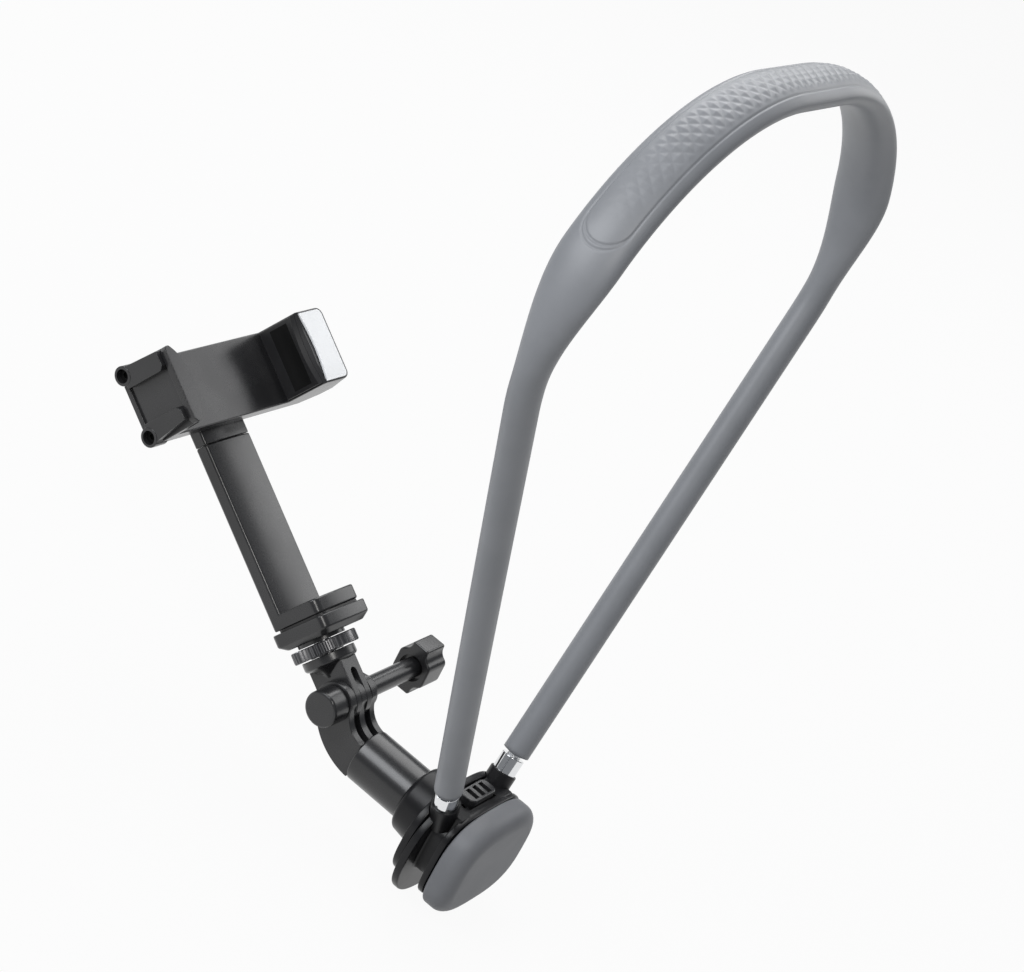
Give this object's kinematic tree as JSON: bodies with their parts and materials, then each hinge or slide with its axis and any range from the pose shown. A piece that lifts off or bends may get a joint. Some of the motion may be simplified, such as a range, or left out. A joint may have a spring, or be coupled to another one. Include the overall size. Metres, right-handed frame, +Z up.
{
  "type": "neck phone holder",
  "caption": "Neck-worn phone holder: bendable grey neck loop on a padded chest base, swivel arm with a fork hinge, and a rotating spring clamp on a post.",
  "frame": {"origin": "centre of the chest cushion's face, which rests on the wearer's chest", "axes": "+X to the wearer's right, +Y forward from the chest along the arm's swivel axis, +Z up towards the neck"},
  "size_m": [0.1966, 0.1858, 0.3078],
  "materials": {
    "silicone": "matt grey silicone with a soft sheen",
    "black_plastic": "satin black moulded plastic",
    "black_rubber": "black rubber",
    "chrome": "bright chrome plate",
    "steel": "plain steel",
    "soft_wire": "annealed aluminium wire",
    "dark_metal": "black anodised, knurled"
  },
  "bodies": {
    "neck_and_base": {"neck_sleeve": "silicone", "neck_core": "soft_wire", "ferrule_left": "chrome", "ferrule_right": "chrome", "chest_cushion": "silicone", "cushion_carrier": "black_plastic", "base_housing": "black_plastic", "arm_plate": "black_plastic"},
    "release": {"release_button": "black_plastic", "latch_plate": "steel", "button_springs": "steel"},
    "arm": {"swivel_arm": "black_plastic", "pivot_screw": "steel", "friction_washer": "steel", "hinge_nut": "steel", "nut_cap": "black_plastic"},
    "thumb_screw": {"thumb_bolt": "steel", "thumb_knob": "black_plastic"},
    "adapter": {"fork_adapter": "black_plastic", "camera_stud": "steel"},
    "locking_ring": {"lock_ring": "dark_metal"},
    "post_body": {"lower_foot": "black_plastic", "foot_gasket": "black_rubber", "foot_screws": "steel", "post": "black_plastic", "pivot_head": "black_plastic"},
    "clamp": {"clamp_body": "black_plastic", "head_screw": "steel", "wave_washer": "steel", "jaw_trim": "chrome", "fixed_jaw_pad": "black_rubber", "jaw_springs": "steel"},
    "moving_jaw": {"sliding_jaw": "black_plastic", "sliding_jaw_pad": "black_rubber", "guide_rods": "steel", "rod_screws": "steel"}
  },
  "joints": [
    {"name": "release_press", "type": "slide", "parent": "neck_and_base", "child": "release", "axis": [0, 0, -1], "range_m": [0, 0.002], "stiffness_N_per_m": 600, "deforming": ["button_springs"]},
    {"name": "arm_swivel", "type": "hinge", "parent": "neck_and_base", "child": "arm", "pos_m": [0, 0.0312, 0], "axis": [0, 1, 0], "continuous": true},
    {"name": "fork_tilt", "type": "hinge", "parent": "arm", "child": "adapter", "pos_m": [0, 0.0746, 0.0129], "axis": [1, 0, 0], "range_deg": [-60, 60]},
    {"name": "thumb_turn", "type": "hinge", "parent": "arm", "child": "thumb_screw", "pos_m": [0, 0.0746, 0.0129], "axis": [1, 0, 0], "continuous": true},
    {"name": "ring_turn", "type": "hinge", "parent": "adapter", "child": "locking_ring", "pos_m": [0, 0.0746, 0.0129], "axis": [0, 0.8387, 0.5446], "continuous": true},
    {"name": "stud_swivel", "type": "hinge", "parent": "adapter", "child": "post_body", "pos_m": [0, 0.0746, 0.0129], "axis": [0, 0.8387, 0.5446], "continuous": true},
    {"name": "clamp_turn", "type": "hinge", "parent": "post_body", "child": "clamp", "pos_m": [0, 0.17105, 0.07553], "axis": [0, -0.5446, 0.8387], "range_deg": [-90, 0]},
    {"name": "jaw_slide", "type": "slide", "parent": "clamp", "child": "moving_jaw", "axis": [-1, 0, 0], "range_m": [0, 0.035], "stiffness_N_per_m": 150, "springref_m": -0.01}
  ]
}
